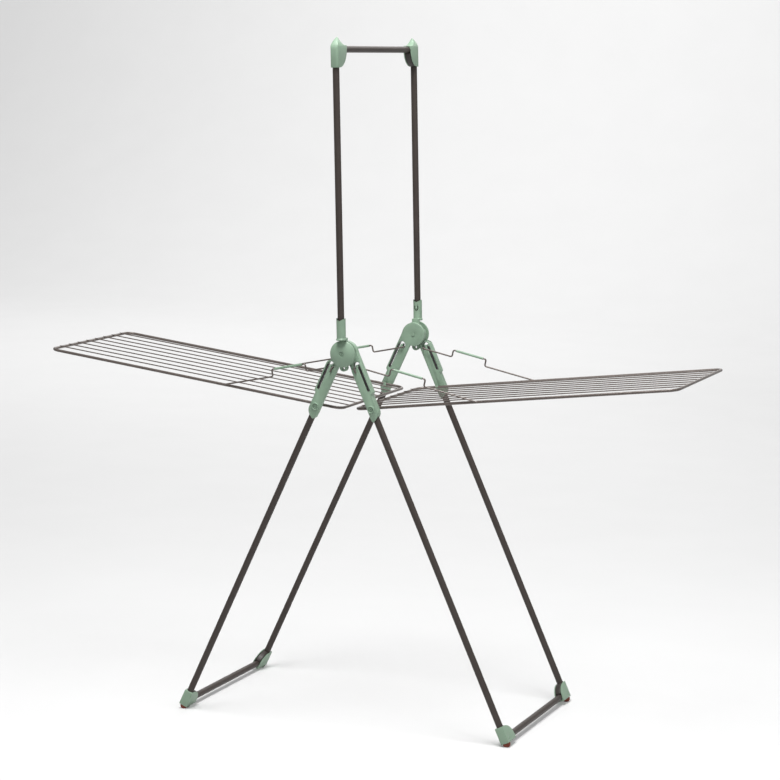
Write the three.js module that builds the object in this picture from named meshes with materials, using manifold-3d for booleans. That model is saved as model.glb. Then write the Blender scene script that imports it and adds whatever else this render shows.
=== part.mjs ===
// Folding clothes drying rack: two U-shaped leg frames that meet at two hubs, a hanging rail that stands
// on the hubs, and two drying wings held up by four wire stays.
//
// World frame: X along the wings, Y along the hub axis, Z up, origin on the floor under the middle.
// Sizes are in millimetres and degrees. The rack has two-fold symmetry about Z: the right side is the left
// side turned by half a turn, so each side has one outer and one inner bracket. On the left side the outer
// bracket is the near one (towards -Y) and on the right side it is the far one.
// A name ending in W is a distance from the middle of the rack along the hub axis.
import * as THREE from "three";
import { mergeVertices } from "three/addons/utils/BufferGeometryUtils.js";
import Module from "manifold-3d";

const wasm = await Module();
wasm.setup();

// ---- driving dimensions ----
const gap = 0.3; // clearance between pieces that touch or turn on each other

// leg frames
const legAngle = 24.5; // each leg frame from the vertical
const legOffset = 11.2; // leg axis from the hub axis, so that the closed frames lie side by side
const hubToPivot = 166.7; // along the leg, from the hub down to the wing pivot
const pivotToBar = 951.9; // along the leg, from the wing pivot down to the floor bar
const barHeight = 21; // floor bar axis above the floor
const outerLegW = 261;
const innerLegW = 250.5;

// round tube of the legs, bars and hanging rail
const tubeRadius = 9;
const tubeWall = 1.5;
const tubeSides = 16;
const discSides = 24;

// brackets; heights are above the wing pivot, along the leg
const armHalfWidth = 16;
const armHalfDepth = 11.5; // along the hub axis, on both sides of the leg axis
const flangeDepth = 9; // the thin edge that laps over the other frame when the rack is closed
const tipDrop = 35; // pointed tip below the wing pivot
const tipShift = 7.5; // the tip stands off the leg axis, towards the middle
const lipEdge = 21.5; // outside of the raised lip along the slot, from the leg axis
const lipStep = 40; // the lip ends in a small step here
const lipFade = 5;
const tubeInsertion = 100;
const discRadius = 34; // inner bracket
const outerDiscRadius = 36;
const discClearance = 1; // the outer arm is cut back this much around the other bracket's disc
const outerDiscDepth = 5.5;
const innerDiscDepth = 18;
const domeRise = 8; // the outer disc is a shallow dome

// cane-shaped slot for the stay's end
const slotX = 14; // straight part, from the leg axis outwards
const slotWidth = 8;
const slotFoot = 46;
const pocketHeight = 119.5; // the stay's end rests here, on the leg axis
const archHeight = 123;

// hub: a holder turns between the two discs
const holderW = 263.5; // middle of the holder
const holderDepth = 12.4;
const holderRadius = 30;
const lugReach = 48;
const lugHalfWidth = 11;
const lugHoleRadius = 4;
const lugHoleReach = 39;
const lugClearance = 2; // the brackets are cut back this much around the turning lug
const hubPinRadius = 4;
const pinHeadRadius = 5;
const pinHeadHeight = 1.6;

// hanging rail
const postW = 279;
const railRise = 811; // crossbar axis above the hub
const railLean = -1.86; // the rail rocks a little on its hubs
const neckHalfWidth = 10;
const socketRadius = 12.5;
const socketTop = 97; // above the hub
const collarBottom = 37.3; // above the hub, just clear of the discs
const collarHeight = 6;
const socketFloor = 4; // plastic under the post's foot, above the collar
const collarRadius = 14;
const rimNotch = 7;
const buttonRadius = 3.2;
const buttonDrop = 23; // below the socket's rim
const buttonProud = 1;
const buttonFlange = 4.4;

// corner caps and elbows, the same on the feet and on the hanging rail
const capWall = 2.6;
const capReach = 48; // of the side walls along the bar, and down the posts of the hanging rail
const footReach = 34; // of the foot caps' side walls, up the leg
const elbowStart = 22; // the tubes end this far from the corner
const plugReach = 42; // the elbow's plugs end this far from the corner
const hornRise = 33; // tip of the horn above the crossbar axis
const hornInset = 11;
const padHalfWidth = 8;
const padReach = 9;
const padDepth = 22;
const tabStart = 3; // a tab beside the pad, on the side towards the middle of the rack
const tabEnd = 14;
const tabDepth = 17.3; // below the corner

// drying wings
const wingTilt = 7; // the outer end is higher
const wingInner = 60; // from the pivot to the inner end bar
const wingOuter = 843.5; // from the pivot to the outer end bar
const outerRailW = 233; // rail beside the outer bracket
const innerRailW = 228; // rail beside the inner bracket
const railRadius = 4;
const wingCorner = 24;
const wireRadius = 1.5;
const wireCount = 8;
const wireLift = 3.5; // the drying wires lie on top of the end bars

// stays
const stayRadius = 2.25;
const stayReach = 296; // from the wing pivot to the stay's joint on the rail
const humpNear = 93; // from the slot end to the hump
const humpLength = 102;
const humpHeight = 20;
const stayBend = 5;
const stayHook = 2.4; // bend radius where the stay enters the rail
const sleeveWall = 0.9;
const sleeveInset = 9; // plain wire left between the sleeve and the bends

// wing pivot rivets
const rivetRadius = 2.5;
const rivetHeadRadius = 4.6;
const rivetHeadHeight = 1.4;
const bossRadius = 10;
const bossRise = 3;

// ---- worked out from the above ----
const radians = THREE.MathUtils.degToRad;
const alpha = radians(legAngle);
const pivotX = hubToPivot * Math.sin(alpha) + legOffset * Math.cos(alpha);
const pivotZ = barHeight + pivotToBar * Math.cos(alpha);
const hubZ = pivotZ + hubToPivot * Math.cos(alpha) - legOffset * Math.sin(alpha);
const tubeClear = tubeRadius + gap;
const tubeInner = tubeRadius - tubeWall;
const plugRadius = tubeInner - gap;
const capTail = tubeClear + capWall; // outside of a corner cap from the tube axis
const holderInW = holderW - holderDepth / 2;
const holderOutW = holderW + holderDepth / 2;
const outerDiscW = holderOutW + gap; // back face of the outer bracket's disc
const innerDiscW = holderInW - gap; // back face of the inner bracket's disc
const lugRoom = lugReach + lugClearance;
const socketSeat = collarBottom + collarHeight + socketFloor;
const postFoot = socketSeat + gap;
// the triangle of wing pivot, slot pocket and rail joint gives the stay's length and its angle to the wing
const openAngle = radians(90 - wingTilt + legAngle);
const stayLength = Math.sqrt(
  pocketHeight ** 2 + stayReach ** 2 - 2 * pocketHeight * stayReach * Math.cos(openAngle)
);
const stayAngle = Math.asin((pocketHeight * Math.sin(openAngle)) / stayLength);

// ---- materials ----
const plain = (color, roughness, metalness = 0) =>
  new THREE.MeshStandardMaterial({ color, roughness, metalness });
const greenPlastic = plain(0x86ab90, 0.5);
const darkPlastic = plain(0x3a3532, 0.5);
const rubber = plain(0x7a2a20, 0.8);
const paintedTube = plain(0x453e3b, 0.45, 0.2);
const coatedWire = plain(0x7c716b, 0.45, 0.3);
const steel = plain(0xa9a9a6, 0.35, 0.9);

// ---- shapes: closed solids that can be joined and cut ----
function solid(geometry) {
  const bare = geometry.clone();
  bare.deleteAttribute("normal");
  bare.deleteAttribute("uv");
  const merged = mergeVertices(bare, 1e-4);
  const mesh = new wasm.Mesh({
    numProp: 3,
    vertProperties: new Float32Array(merged.attributes.position.array),
    triVerts: new Uint32Array(merged.index.array),
  });
  return new wasm.Manifold(mesh);
}

const join = (...shapes) => shapes.reduce((whole, shape) => whole.add(shape));
const cut = (shape, ...tools) => tools.reduce((whole, tool) => whole.subtract(tool), shape);

function box(x0, x1, y0, y1, z0, z1) {
  const geometry = new THREE.BoxGeometry(Math.abs(x1 - x0), Math.abs(y1 - y0), Math.abs(z1 - z0));
  geometry.translate((x0 + x1) / 2, (y0 + y1) / 2, (z0 + z1) / 2);
  return solid(geometry);
}

// a round bar between two points; it may taper
function rod(from, to, radius, sides = tubeSides, endRadius = radius) {
  const start = new THREE.Vector3(...from);
  const along = new THREE.Vector3(...to).sub(start);
  const geometry = new THREE.CylinderGeometry(endRadius, radius, along.length(), sides);
  geometry.translate(0, along.length() / 2, 0);
  const turn = new THREE.Quaternion().setFromUnitVectors(THREE.Object3D.DEFAULT_UP, along.normalize());
  geometry.applyQuaternion(turn);
  geometry.translate(...from);
  return solid(geometry);
}

const rodAcross = (radius, y0, y1, x, z, sides) => rod([x, y0, z], [x, y1, z], radius, sides);

// an outline in the XZ plane, extruded along Y
function plate(shape, y0, y1, curveSegments = 8) {
  const depth = Math.abs(y1 - y0);
  const geometry = new THREE.ExtrudeGeometry(shape, { depth, bevelEnabled: false, curveSegments });
  geometry.rotateX(Math.PI / 2);
  geometry.translate(0, Math.max(y0, y1), 0);
  return solid(geometry);
}

function outline(points) {
  return new THREE.Shape(points.map(([x, z]) => new THREE.Vector2(x, z)));
}

// a path of straight runs and round bends, given point by point
class BentPath extends THREE.Curve {
  constructor(corners, bends) {
    super();
    this.points = roundCorners(corners, bends);
  }

  index(u) {
    return Math.round(u * (this.points.length - 1));
  }

  getPointAt(u, target = new THREE.Vector3()) {
    return target.copy(this.points[this.index(u)]);
  }

  getTangentAt(u, target = new THREE.Vector3()) {
    const i = this.index(u);
    const before = this.points[Math.max(i - 1, 0)];
    const after = this.points[Math.min(i + 1, this.points.length - 1)];
    return target.subVectors(after, before).normalize();
  }
}

const bendSteps = 3;

function roundCorners(corners, bends) {
  const points = [new THREE.Vector3(...corners[0])];
  for (let i = 1; i < corners.length - 1; i++) {
    const corner = new THREE.Vector3(...corners[i]);
    const back = new THREE.Vector3(...corners[i - 1]).sub(corner).normalize();
    const ahead = new THREE.Vector3(...corners[i + 1]).sub(corner).normalize();
    const half = back.angleTo(ahead) / 2;
    const reach = bends[i - 1] / Math.tan(half);
    const toCentre = bends[i - 1] / Math.sin(half);
    const centre = back.clone().add(ahead).normalize().multiplyScalar(toCentre).add(corner);
    const start = back.multiplyScalar(reach).add(corner).sub(centre);
    const end = ahead.multiplyScalar(reach).add(corner).sub(centre);
    const sweep = start.angleTo(end);
    const axis = start.clone().cross(end).normalize();
    for (let k = 0; k <= bendSteps; k++) {
      points.push(start.clone().applyAxisAngle(axis, (sweep * k) / bendSteps).add(centre));
    }
  }
  points.push(new THREE.Vector3(...corners[corners.length - 1]));
  return points;
}

// a round wire bent at its corners
function bentWire(corners, bends, radius, sides) {
  const path = new BentPath(corners, bends);
  const section = new THREE.Shape().absarc(0, 0, radius, 0, 2 * Math.PI);
  const steps = path.points.length - 1;
  return solid(new THREE.ExtrudeGeometry(section, { steps, curveSegments: sides / 2, extrudePath: path }));
}

function named(name, shape, material) {
  const { vertProperties, triVerts } = shape.getMesh();
  const geometry = new THREE.BufferGeometry();
  geometry.setAttribute("position", new THREE.BufferAttribute(new Float32Array(vertProperties), 3));
  geometry.setIndex(new THREE.BufferAttribute(new Uint32Array(triVerts), 1));
  geometry.computeVertexNormals();
  const mesh = new THREE.Mesh(geometry, material);
  mesh.name = name;
  return mesh;
}

function tube(from, to) {
  const axis = new THREE.Vector3(...to).sub(new THREE.Vector3(...from)).normalize();
  const past = (point, sign) => new THREE.Vector3(...point).addScaledVector(axis, sign).toArray();
  return cut(rod(from, to, tubeRadius), rod(past(from, -1), past(to, 1), tubeInner));
}

// ---- corner caps and elbows ----
// Local frame of a corner: origin where the two tube axes meet, X along the bar towards its middle,
// Z along the leg or post away from the corner, Y across the frame's plane.
function cornerFrame(position, barAxis, legAxis) {
  const across = new THREE.Vector3().crossVectors(legAxis, barAxis);
  const group = new THREE.Group();
  group.matrixAutoUpdate = false;
  group.matrix.makeBasis(barAxis, across, legAxis).setPosition(position);
  return group;
}

// a quarter of an ellipse about the corner, without the strips that the two tubes take
function quarterRound(barReach, legReach, start) {
  const shape = new THREE.Shape();
  const first = Math.asin(start / legReach);
  const last = Math.acos(start / barReach);
  shape.moveTo(start, start);
  shape.lineTo(barReach * Math.cos(first), start);
  shape.absellipse(0, 0, barReach, legReach, first, last, false);
  return shape;
}

function capOutline(withHorn, legReach) {
  const shape = new THREE.Shape();
  shape.moveTo(-capTail, legReach);
  if (withHorn) {
    shape.lineTo(-capTail, 0);
    shape.quadraticCurveTo(-capTail + 2, -hornRise + 12, hornInset, -hornRise);
    shape.quadraticCurveTo(hornInset + 8, -capTail - 4, capReach - 6, -capTail + 1);
    shape.lineTo(capReach + 2, -capTail + 1);
  } else {
    shape.lineTo(-capTail, -capTail);
    shape.lineTo(capReach + 2, -capTail);
  }
  shape.lineTo(capReach + 2, 0);
  shape.lineTo(capReach, 0);
  shape.absellipse(0, 0, capReach, legReach, 0, Math.PI / 2, false);
  return shape;
}

// what is taken out of either cap: both tubes, and the space between its side walls
function capRoom() {
  const long = 2 * capReach;
  return [
    rod([0, 0, 0], [0, 0, long], tubeClear),
    rod([0, 0, 0], [long, 0, 0], tubeClear),
    solid(new THREE.SphereGeometry(tubeClear, 12, 6)),
    box(0, long, -tubeClear, tubeClear, 0, long),
  ];
}

// A cap is a channel around the outside of both tubes, with a rounded wall on each side. A foot cap also
// has a tab beside its pad; inner is the side of the corner's frame that faces the middle of the rack.
function footCap(inner) {
  return join(
    cut(plate(capOutline(false, footReach), -capTail, capTail, 6), ...capRoom()),
    box(tabStart, tabEnd, inner * tubeClear, inner * capTail, -tabDepth, -tubeClear)
  );
}

function topCap() {
  const long = 2 * capReach;
  // seen along the bar the horn is a pointed arch
  const arch = new THREE.Shape();
  arch.moveTo(-capTail, long);
  arch.lineTo(-capTail, -capTail);
  arch.quadraticCurveTo(-capTail + 1, -hornRise + 8, 0, -hornRise - 1);
  arch.quadraticCurveTo(capTail - 1, -hornRise + 8, capTail, -capTail);
  arch.lineTo(capTail, long);
  const settings = { depth: 2 * long, bevelEnabled: false, curveSegments: 5 };
  const geometry = new THREE.ExtrudeGeometry(arch, settings);
  geometry.rotateX(Math.PI / 2);
  geometry.rotateZ(Math.PI / 2);
  geometry.translate(-long, 0, 0);
  const body = plate(capOutline(true, capReach), -capTail, capTail, 6).intersect(solid(geometry));
  return cut(body, ...capRoom());
}

// The elbow holds the two tubes by plugs, and fills the corner between the cap's side walls.
function cornerElbow(legReach) {
  const bend = tubeRadius - gap;
  const web = tubeClear + gap;
  const webHalf = tubeRadius - 1;
  return join(
    solid(new THREE.SphereGeometry(bend, 12, 6)),
    rod([0, 0, 0], [0, 0, elbowStart - gap], bend),
    rod([0, 0, 0], [elbowStart - gap, 0, 0], bend),
    rod([0, 0, 0], [0, 0, plugReach], plugRadius, 8),
    rod([0, 0, 0], [plugReach, 0, 0], plugRadius, 8),
    box(bend / 2, elbowStart - gap, -webHalf, webHalf, bend / 2, elbowStart - gap),
    plate(quarterRound(capReach - 1, legReach - 1, web), -webHalf, webHalf, 6)
  );
}

// A foot pad under the corner; up is the floor's normal in the corner's frame.
function footPad(up) {
  const shape = new THREE.Shape();
  shape.moveTo(padReach, -capTail - gap);
  shape.lineTo(-capTail + gap, -capTail - gap);
  shape.bezierCurveTo(-capTail + 1, -padDepth, -6, -padDepth - 8, 0, -padDepth - 8);
  shape.bezierCurveTo(6, -padDepth - 8, padReach, -padDepth, padReach, -capTail - gap);
  const deep = 80;
  const floor = new THREE.BoxGeometry(deep, deep, deep);
  floor.translate(0, 0, -deep / 2 - barHeight);
  floor.applyQuaternion(new THREE.Quaternion().setFromUnitVectors(new THREE.Vector3(0, 0, 1), up));
  return cut(plate(shape, -padHalfWidth, padHalfWidth, 5), solid(floor));
}

// ---- brackets ----
// Local frame of a leg: origin at the wing pivot, X inwards, Z up along the leg. Y stays the hub axis;
// out is +1 or -1, the side of the rack that the leg is on, and y = out * w.
function armOutline(rounded) {
  const shape = new THREE.Shape();
  const shoulder = hubToPivot - discRadius;
  const archX = -slotX / 2;
  if (rounded) {
    // the lip goes around the arch of the slot and ends behind the disc
    shape.moveTo(archX, hubToPivot - discRadius / 2);
    shape.absarc(archX, archHeight, lipEdge + archX, Math.PI / 2, Math.PI, false);
  } else {
    // the lip runs on into the edge of the disc
    shape.moveTo(-lipEdge, hubToPivot);
  }
  shape.lineTo(-lipEdge, lipStep);
  shape.lineTo(-armHalfWidth, lipStep - lipFade);
  shape.lineTo(-armHalfWidth, -10);
  shape.quadraticCurveTo(-armHalfWidth + 2, -tipDrop + 8, tipShift, -tipDrop);
  shape.quadraticCurveTo(armHalfWidth - 1, -tipDrop + 10, armHalfWidth, -12);
  shape.lineTo(armHalfWidth, shoulder + 8);
  shape.lineTo(legOffset, hubToPivot);
  return shape;
}

function caneSlot(y0, y1) {
  const half = slotWidth / 2;
  const centre = -slotX / 2;
  const shape = new THREE.Shape();
  shape.moveTo(-slotX - half, archHeight);
  shape.absarc(-slotX, slotFoot + half, half, Math.PI, 2 * Math.PI, false);
  shape.lineTo(-slotX + half, archHeight);
  shape.absarc(centre, archHeight, slotX / 2 - half, Math.PI, 0, true);
  shape.absarc(0, pocketHeight, half, Math.PI, 2 * Math.PI, false);
  shape.absarc(centre, archHeight, slotX / 2 + half, 0, Math.PI, false);
  return plate(shape, y0, y1, 6);
}

function bracketArm(out, legW, rounded) {
  const inW = legW - armHalfDepth;
  const outW = legW + armHalfDepth;
  return join(
    plate(armOutline(rounded), out * inW, out * outW, 4),
    rodAcross(bossRadius, out * legW, out * (outW + bossRise), 0, 0, 16)
  );
}

// what is taken out of either bracket: leg tube, slot, pivot hole, hub bore and the turning holder's room
function bracketCuts(out, legW) {
  const y0 = out * (innerDiscW - 2 * innerDiscDepth);
  const y1 = out * (outerDiscW + 2 * innerDiscDepth);
  return [
    rod([0, out * legW, -2 * tipDrop], [0, out * legW, tubeInsertion + gap], tubeClear),
    caneSlot(y0, y1),
    rodAcross(rivetRadius + gap, y0, y1, 0, 0, 12),
    rodAcross(hubPinRadius + gap, y0, y1, legOffset, hubToPivot, 16),
    rodAcross(lugRoom, out * innerDiscW, out * outerDiscW, legOffset, hubToPivot, discSides),
  ];
}

// Only a thin edge of the arm laps past the middle of the hub, at the arm's outer or inner face.
function lapCut(y0, y1) {
  const deep = 2 * tipDrop;
  return box(legOffset - gap, 2 * armHalfWidth, y0, y1, -deep, hubToPivot + discRadius);
}

function outerBracket(out) {
  const legW = outerLegW;
  const faceW = legW + armHalfDepth;
  const rimW = outerDiscW + outerDiscDepth;
  const behindW = legW - 2 * armHalfDepth;
  const arm = cut(
    bracketArm(out, legW, true),
    lapCut(out * behindW, out * (faceW - flangeDepth)),
    rodAcross(discRadius + discClearance, out * behindW, out * outerDiscW, legOffset, hubToPivot, discSides)
  );
  const disc = rodAcross(outerDiscRadius, out * outerDiscW, out * rimW, legOffset, hubToPivot, discSides);
  const dome = rod(
    [legOffset, out * rimW, hubToPivot],
    [legOffset, out * (rimW + domeRise), hubToPivot],
    outerDiscRadius,
    discSides,
    pinHeadRadius + 1
  );
  return cut(join(arm, disc, dome), ...bracketCuts(out, legW));
}

function innerBracket(out) {
  const legW = innerLegW;
  const faceW = legW - armHalfDepth;
  const arm = cut(
    bracketArm(out, legW, false),
    lapCut(out * (faceW + flangeDepth), out * (legW + 2 * armHalfDepth))
  );
  const discFaceW = innerDiscW - innerDiscDepth;
  const disc = rodAcross(discRadius, out * discFaceW, out * innerDiscW, legOffset, hubToPivot, discSides);
  return cut(join(arm, disc), ...bracketCuts(out, legW));
}

function pivotRivet(out, legW, railW) {
  const headW = legW + armHalfDepth + bossRise + gap;
  const tailW = railW - railRadius - gap;
  return join(
    rodAcross(rivetRadius, out * tailW, out * headW, 0, 0, 12),
    rodAcross(rivetHeadRadius, out * headW, out * (headW + rivetHeadHeight), 0, 0, 12),
    rodAcross(rivetHeadRadius - 1, out * (tailW - rivetHeadHeight), out * tailW, 0, 0, 12)
  );
}

function legTube(out, legW) {
  const whole = tube([0, out * legW, -pivotToBar + elbowStart], [0, out * legW, tubeInsertion]);
  const holeEnd = 2 * tubeRadius;
  return cut(whole, rodAcross(rivetRadius + gap, out * (legW - holeEnd), out * (legW + holeEnd), 0, 0, 12));
}

// ---- drying wing ----
// Local frame of a wing: origin at the wing pivot, X inwards along the rails, Z up from the wires.
function dryingWing(railLowY, railHighY) {
  const middle = (wingInner - wingOuter) / 2;
  const corner = [wingCorner, wingCorner];
  const half = (endX) => {
    const low = [middle, endX].map((x) => [x, railLowY, 0]);
    const high = [endX, middle].map((x) => [x, railHighY, 0]);
    return bentWire([...low, ...high], corner, railRadius, 8);
  };
  const lap = 1;
  const sleeve = (y) => rod([middle - lap, y, 0], [middle + lap, y, 0], railRadius + gap, 8);
  let wing = join(half(wingInner), half(-wingOuter), sleeve(railLowY), sleeve(railHighY));
  const pitch = (railHighY - railLowY) / (wireCount + 1);
  for (let i = 1; i <= wireCount; i++) {
    const y = railLowY + i * pitch;
    const ends = [-wingOuter - wireRadius, wingInner + wireRadius].map((x) => [x, y, wireLift]);
    wing = wing.add(rod(...ends, wireRadius, 5));
  }
  return cut(
    wing,
    rodAcross(rivetRadius + gap, railLowY - 2 * railRadius, railHighY + 2 * railRadius, 0, 0, 12),
    rodAcross(stayRadius + gap, railLowY - 2 * railRadius, railHighY + 2 * railRadius, -stayReach, 0, 12)
  );
}

// ---- stays ----
// Local frame of a stay: origin on the rail, X along the stay towards its slot end, Z away from the wing.
const stayLine = railRadius + gap + stayRadius; // the stay's plane from the rail axis

function stay(out, railW) {
  const y = out * (railW + stayLine);
  const humpEnd = stayLength - humpNear;
  const humpStart = humpEnd - humpLength;
  const corners = [
    [0, out * (railW - railRadius - stayRadius), 0],
    [0, y, 0],
    [humpStart, y, 0],
    [humpStart, y, humpHeight],
    [humpEnd, y, humpHeight],
    [humpEnd, y, 0],
    [stayLength, y, 0],
  ];
  const bends = [stayHook, stayBend, stayBend, stayBend, stayBend];
  return bentWire(corners, bends, stayRadius, 6);
}

function staySleeve(out, railW) {
  const y = out * (railW + stayLine);
  const end = stayLength - humpNear - sleeveInset;
  const start = stayLength - humpNear - humpLength + sleeveInset;
  return cut(
    rod([start, y, humpHeight], [end, y, humpHeight], stayRadius + gap + sleeveWall, 12),
    rod([start - 1, y, humpHeight], [end + 1, y, humpHeight], stayRadius + gap, 12)
  );
}

// ---- hub and hanging rail ----
// Local frame: origin on the hub axis, Z up along the posts.
function hubPin(out) {
  const frontW = outerDiscW + outerDiscDepth + domeRise + gap;
  const backW = innerDiscW - innerDiscDepth - gap;
  return join(
    rodAcross(hubPinRadius, out * backW, out * frontW, 0, 0, 16),
    rodAcross(pinHeadRadius, out * frontW, out * (frontW + pinHeadHeight), 0, 0, 16),
    rodAcross(pinHeadRadius, out * backW, out * (backW - pinHeadHeight), 0, 0, 16)
  );
}

function postHolder(out) {
  const y0 = out * holderInW;
  const y1 = out * holderOutW;
  const postY = out * postW;
  const lug = new THREE.Shape();
  lug.moveTo(lugHalfWidth, 0);
  lug.lineTo(-lugHalfWidth, 0);
  lug.lineTo(-lugHalfWidth, lugHalfWidth - lugReach);
  lug.absarc(0, lugHalfWidth - lugReach, lugHalfWidth, Math.PI, 2 * Math.PI, false);
  const notch = outline([
    [-2 * socketRadius, socketTop + rimNotch],
    [0, socketTop - rimNotch],
    [2 * socketRadius, socketTop + rimNotch],
  ]);
  return cut(
    join(
      rodAcross(holderRadius, y0, y1, 0, 0, discSides),
      plate(lug, y0, y1, 6),
      box(-neckHalfWidth, neckHalfWidth, y0, y1, 0, collarBottom + collarHeight),
      rod([0, postY, collarBottom], [0, postY, collarBottom + collarHeight], collarRadius),
      rod([0, postY, collarBottom], [0, postY, socketTop], socketRadius)
    ),
    rodAcross(hubPinRadius + gap, 2 * y0 - y1, 2 * y1 - y0, 0, 0, 16),
    rodAcross(lugHoleRadius, 2 * y0 - y1, 2 * y1 - y0, 0, -lugHoleReach, 12),
    rod([0, postY, socketSeat], [0, postY, socketTop + 2 * rimNotch], tubeClear),
    plate(notch, postY - 2 * socketRadius, postY + 2 * socketRadius),
    rodAcross(buttonRadius + gap, 0, postY, 0, socketTop - buttonDrop, 12)
  );
}

function hangingPost(out) {
  const whole = tube([0, out * postW, postFoot], [0, out * postW, railRise - elbowStart]);
  return cut(whole, rodAcross(buttonRadius + gap, 0, out * postW, 0, socketTop - buttonDrop, 12));
}

function snapButton(out) {
  const z = socketTop - buttonDrop;
  const flangeW = postW - buttonRadius;
  return join(
    rodAcross(buttonRadius, out * (postW - socketRadius - buttonProud), out * flangeW, 0, z, 12),
    rodAcross(buttonFlange, out * (flangeW - 2), out * flangeW, 0, z, 12)
  );
}

const crossbar = () => tube([0, -postW + elbowStart, railRise], [0, postW - elbowStart, railRise]);

// ---- assembly ----
const rack = new THREE.Group();

// One side: its leg frame, its wing and its stays. ends gives the names of the outer and inner end.
function addSide(side, turn, ends) {
  const half = new THREE.Group();
  half.rotation.z = turn;
  rack.add(half);

  const leg = new THREE.Group();
  leg.position.set(-pivotX, 0, pivotZ);
  leg.rotation.y = alpha;
  const wing = new THREE.Group();
  wing.position.set(-pivotX, 0, pivotZ);
  wing.rotation.y = radians(wingTilt);
  const stays = new THREE.Group();
  stays.position.set(-stayReach, 0, 0);
  stays.rotation.y = -stayAngle;
  wing.add(stays);
  half.add(leg, wing);

  const legUp = new THREE.Vector3(0, 0, 1);
  const floorUp = new THREE.Vector3(-Math.sin(alpha), 0, Math.cos(alpha));
  const outerEnd = { name: ends[0], out: -1, legW: outerLegW, railW: outerRailW, bracket: outerBracket };
  const innerEnd = { name: ends[1], out: 1, legW: innerLegW, railW: innerRailW, bracket: innerBracket };

  for (const { name, out, legW, railW, bracket } of [outerEnd, innerEnd]) {
    const piece = (what) => `${side}_${name}_${what}`;
    leg.add(
      named(piece("leg"), legTube(out, legW), paintedTube),
      named(piece("bracket"), bracket(out), greenPlastic),
      named(piece("wing_rivet"), pivotRivet(out, legW, railW), steel)
    );
    const corner = cornerFrame(
      new THREE.Vector3(0, out * legW, -pivotToBar),
      new THREE.Vector3(0, -out, 0),
      legUp
    );
    const padUp = new THREE.Vector3(0, out * floorUp.x, floorUp.z);
    corner.add(
      named(piece("foot_cap"), footCap(out), greenPlastic),
      named(piece("foot_elbow"), cornerElbow(footReach), darkPlastic),
      named(piece("foot_pad"), footPad(padUp), rubber)
    );
    leg.add(corner);
    stays.add(
      named(piece("stay"), stay(out, railW), coatedWire),
      named(piece("stay_sleeve"), staySleeve(out, railW), greenPlastic)
    );
  }
  const barStart = [0, -outerLegW + elbowStart, -pivotToBar];
  const barEnd = [0, innerLegW - elbowStart, -pivotToBar];
  leg.add(named(`${side}_floor_bar`, tube(barStart, barEnd), paintedTube));
  wing.add(named(`${side}_wing`, dryingWing(-outerRailW, innerRailW), coatedWire));
}

function addHangingRail() {
  const hub = new THREE.Group();
  hub.position.z = hubZ;
  const rail = new THREE.Group();
  rail.rotation.y = radians(railLean);
  hub.add(rail);
  rack.add(hub);
  for (const [end, out] of [["near", -1], ["far", 1]]) {
    hub.add(named(`${end}_hub_pin`, hubPin(out), steel));
    const corner = cornerFrame(
      new THREE.Vector3(0, out * postW, railRise),
      new THREE.Vector3(0, -out, 0),
      new THREE.Vector3(0, 0, -1)
    );
    corner.add(
      named(`${end}_top_cap`, topCap(), greenPlastic),
      named(`${end}_top_elbow`, cornerElbow(capReach), darkPlastic)
    );
    rail.add(
      named(`${end}_post_holder`, postHolder(out), greenPlastic),
      named(`${end}_post`, hangingPost(out), paintedTube),
      named(`${end}_snap_button`, snapButton(out), greenPlastic),
      corner
    );
  }
  rail.add(named("crossbar", crossbar(), paintedTube));
}

addSide("left", 0, ["near", "far"]);
addSide("right", Math.PI, ["far", "near"]);
addHangingRail();

export default rack;
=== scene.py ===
"""The looks of a folding clothes drying rack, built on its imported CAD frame.

Shapes are made in millimetres in the same local frames as the CAD's: leg, wing, stay, corner and hub.
Each finished mesh is then placed in the world frame, in metres.
"""

import math

import bmesh
import bpy
from mathutils import Matrix, Vector


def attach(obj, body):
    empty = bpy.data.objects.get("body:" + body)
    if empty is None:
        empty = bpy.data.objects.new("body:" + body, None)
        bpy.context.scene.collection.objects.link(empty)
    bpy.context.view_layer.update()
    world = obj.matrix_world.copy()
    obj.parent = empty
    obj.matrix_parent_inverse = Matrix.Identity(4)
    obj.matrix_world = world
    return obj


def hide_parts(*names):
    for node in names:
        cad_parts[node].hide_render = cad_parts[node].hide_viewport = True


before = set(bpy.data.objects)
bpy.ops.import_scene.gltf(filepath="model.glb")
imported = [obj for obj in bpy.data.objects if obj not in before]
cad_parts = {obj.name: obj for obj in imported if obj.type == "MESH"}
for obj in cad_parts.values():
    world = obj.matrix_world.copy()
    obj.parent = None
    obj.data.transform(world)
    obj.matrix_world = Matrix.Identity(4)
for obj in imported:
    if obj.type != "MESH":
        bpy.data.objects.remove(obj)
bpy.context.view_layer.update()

# ---- sizes in millimetres, as in the CAD unless said; W is measured from the middle along the hub axis ----
GAP = 0.3
LEG_ANGLE = math.radians(24.5)
LEG_OFFSET = 11.2
HUB_TO_PIVOT = 166.7
PIVOT_TO_BAR = 951.9
BAR_HEIGHT = 21
OUTER_LEG_W = 261
INNER_LEG_W = 250.5
TUBE_RADIUS = 9
TUBE_WALL = 1.5

ARM_HALF_WIDTH = 16
ARM_HALF_DEPTH = 11.5
FLANGE_DEPTH = 9
TIP_DROP = 35
TIP_SHIFT = 7.5
LIP_EDGE = 21.5
LIP_STEP = 40
LIP_FADE = 5
TUBE_INSERTION = 100
DISC_RADIUS = 34
OUTER_DISC_RADIUS = 36
OUTER_DISC_DEPTH = 5.5
INNER_DISC_DEPTH = 18
DOME_RISE = 8
SLOT_X = 14
SLOT_WIDTH = 7.8  # 8 in the CAD
# the dark sheet of painted shade inside each slot: its wall, its gap to the slot's sides, its top and its
# depth
SHADE_SHEET_WALL = 0.7
SHADE_SHEET_GAP = 0.1
SHADE_SHEET_TOP = 119
SHADE_SHEET_DEPTH = 2.4  # below the bracket's faces
SLOT_FOOT = 46
POCKET_HEIGHT = 119.5
ARCH_HEIGHT = 123

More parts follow.
